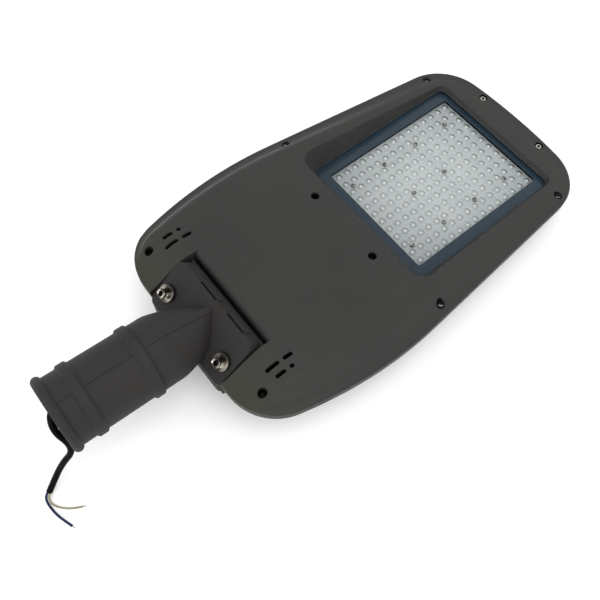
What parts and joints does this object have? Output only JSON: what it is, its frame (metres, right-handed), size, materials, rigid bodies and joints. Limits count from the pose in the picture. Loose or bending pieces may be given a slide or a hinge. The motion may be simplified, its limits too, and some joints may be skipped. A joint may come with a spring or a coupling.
{
  "type": "led street light head",
  "caption": "Street light head with a flat cast body, a lensed LED window behind bordered glass, and a bolted tubular pole socket with its supply cable.",
  "frame": {"origin": "middle of the bounding box of the head, on the surface that its back lies on", "axes": "+X from the pole socket to the lamp front, +Z along the glass normal, +Y across"},
  "size_m": [0.675, 0.2826, 0.1291],
  "materials": {
    "cast_grey": "fine powder coat",
    "clear_glass": "tempered, printed border",
    "lens_clear": "clear moulded",
    "board_white": "white solder mask",
    "led_yellow": "phosphor",
    "stainless": "bright",
    "silicone": "matte",
    "zinc_sheet": "zinc plated",
    "driver_metal": "anodised",
    "black_plastic": "matte",
    "cable_black": "satin",
    "wire_blue": "satin",
    "wire_olive": "satin"
  },
  "bodies": {
    "root": {"front_cover": "cast_grey", "back_housing": "cast_grey", "spigot": "cast_grey", "cover_gasket": "silicone", "window_glass": "clear_glass", "glass_gasket": "silicone", "glass_retainer": "zinc_sheet", "glass_retainer_screws": "stainless", "lens_plate": "lens_clear", "led_board": "board_white", "led_chips": "led_yellow", "lens_screws": "stainless", "cover_screws": "stainless", "led_driver": "driver_metal", "driver_screws": "stainless", "terminal_block": "black_plastic", "pad_washers": "black_plastic", "flat_washers": "stainless", "spring_washers": "stainless", "spigot_bolts": "stainless", "pole_set_screws": "stainless", "cable_gland": "black_plastic", "supply_cable": "cable_black", "blue_wire": "wire_blue", "olive_wire": "wire_olive"}
  },
  "joints": []
}
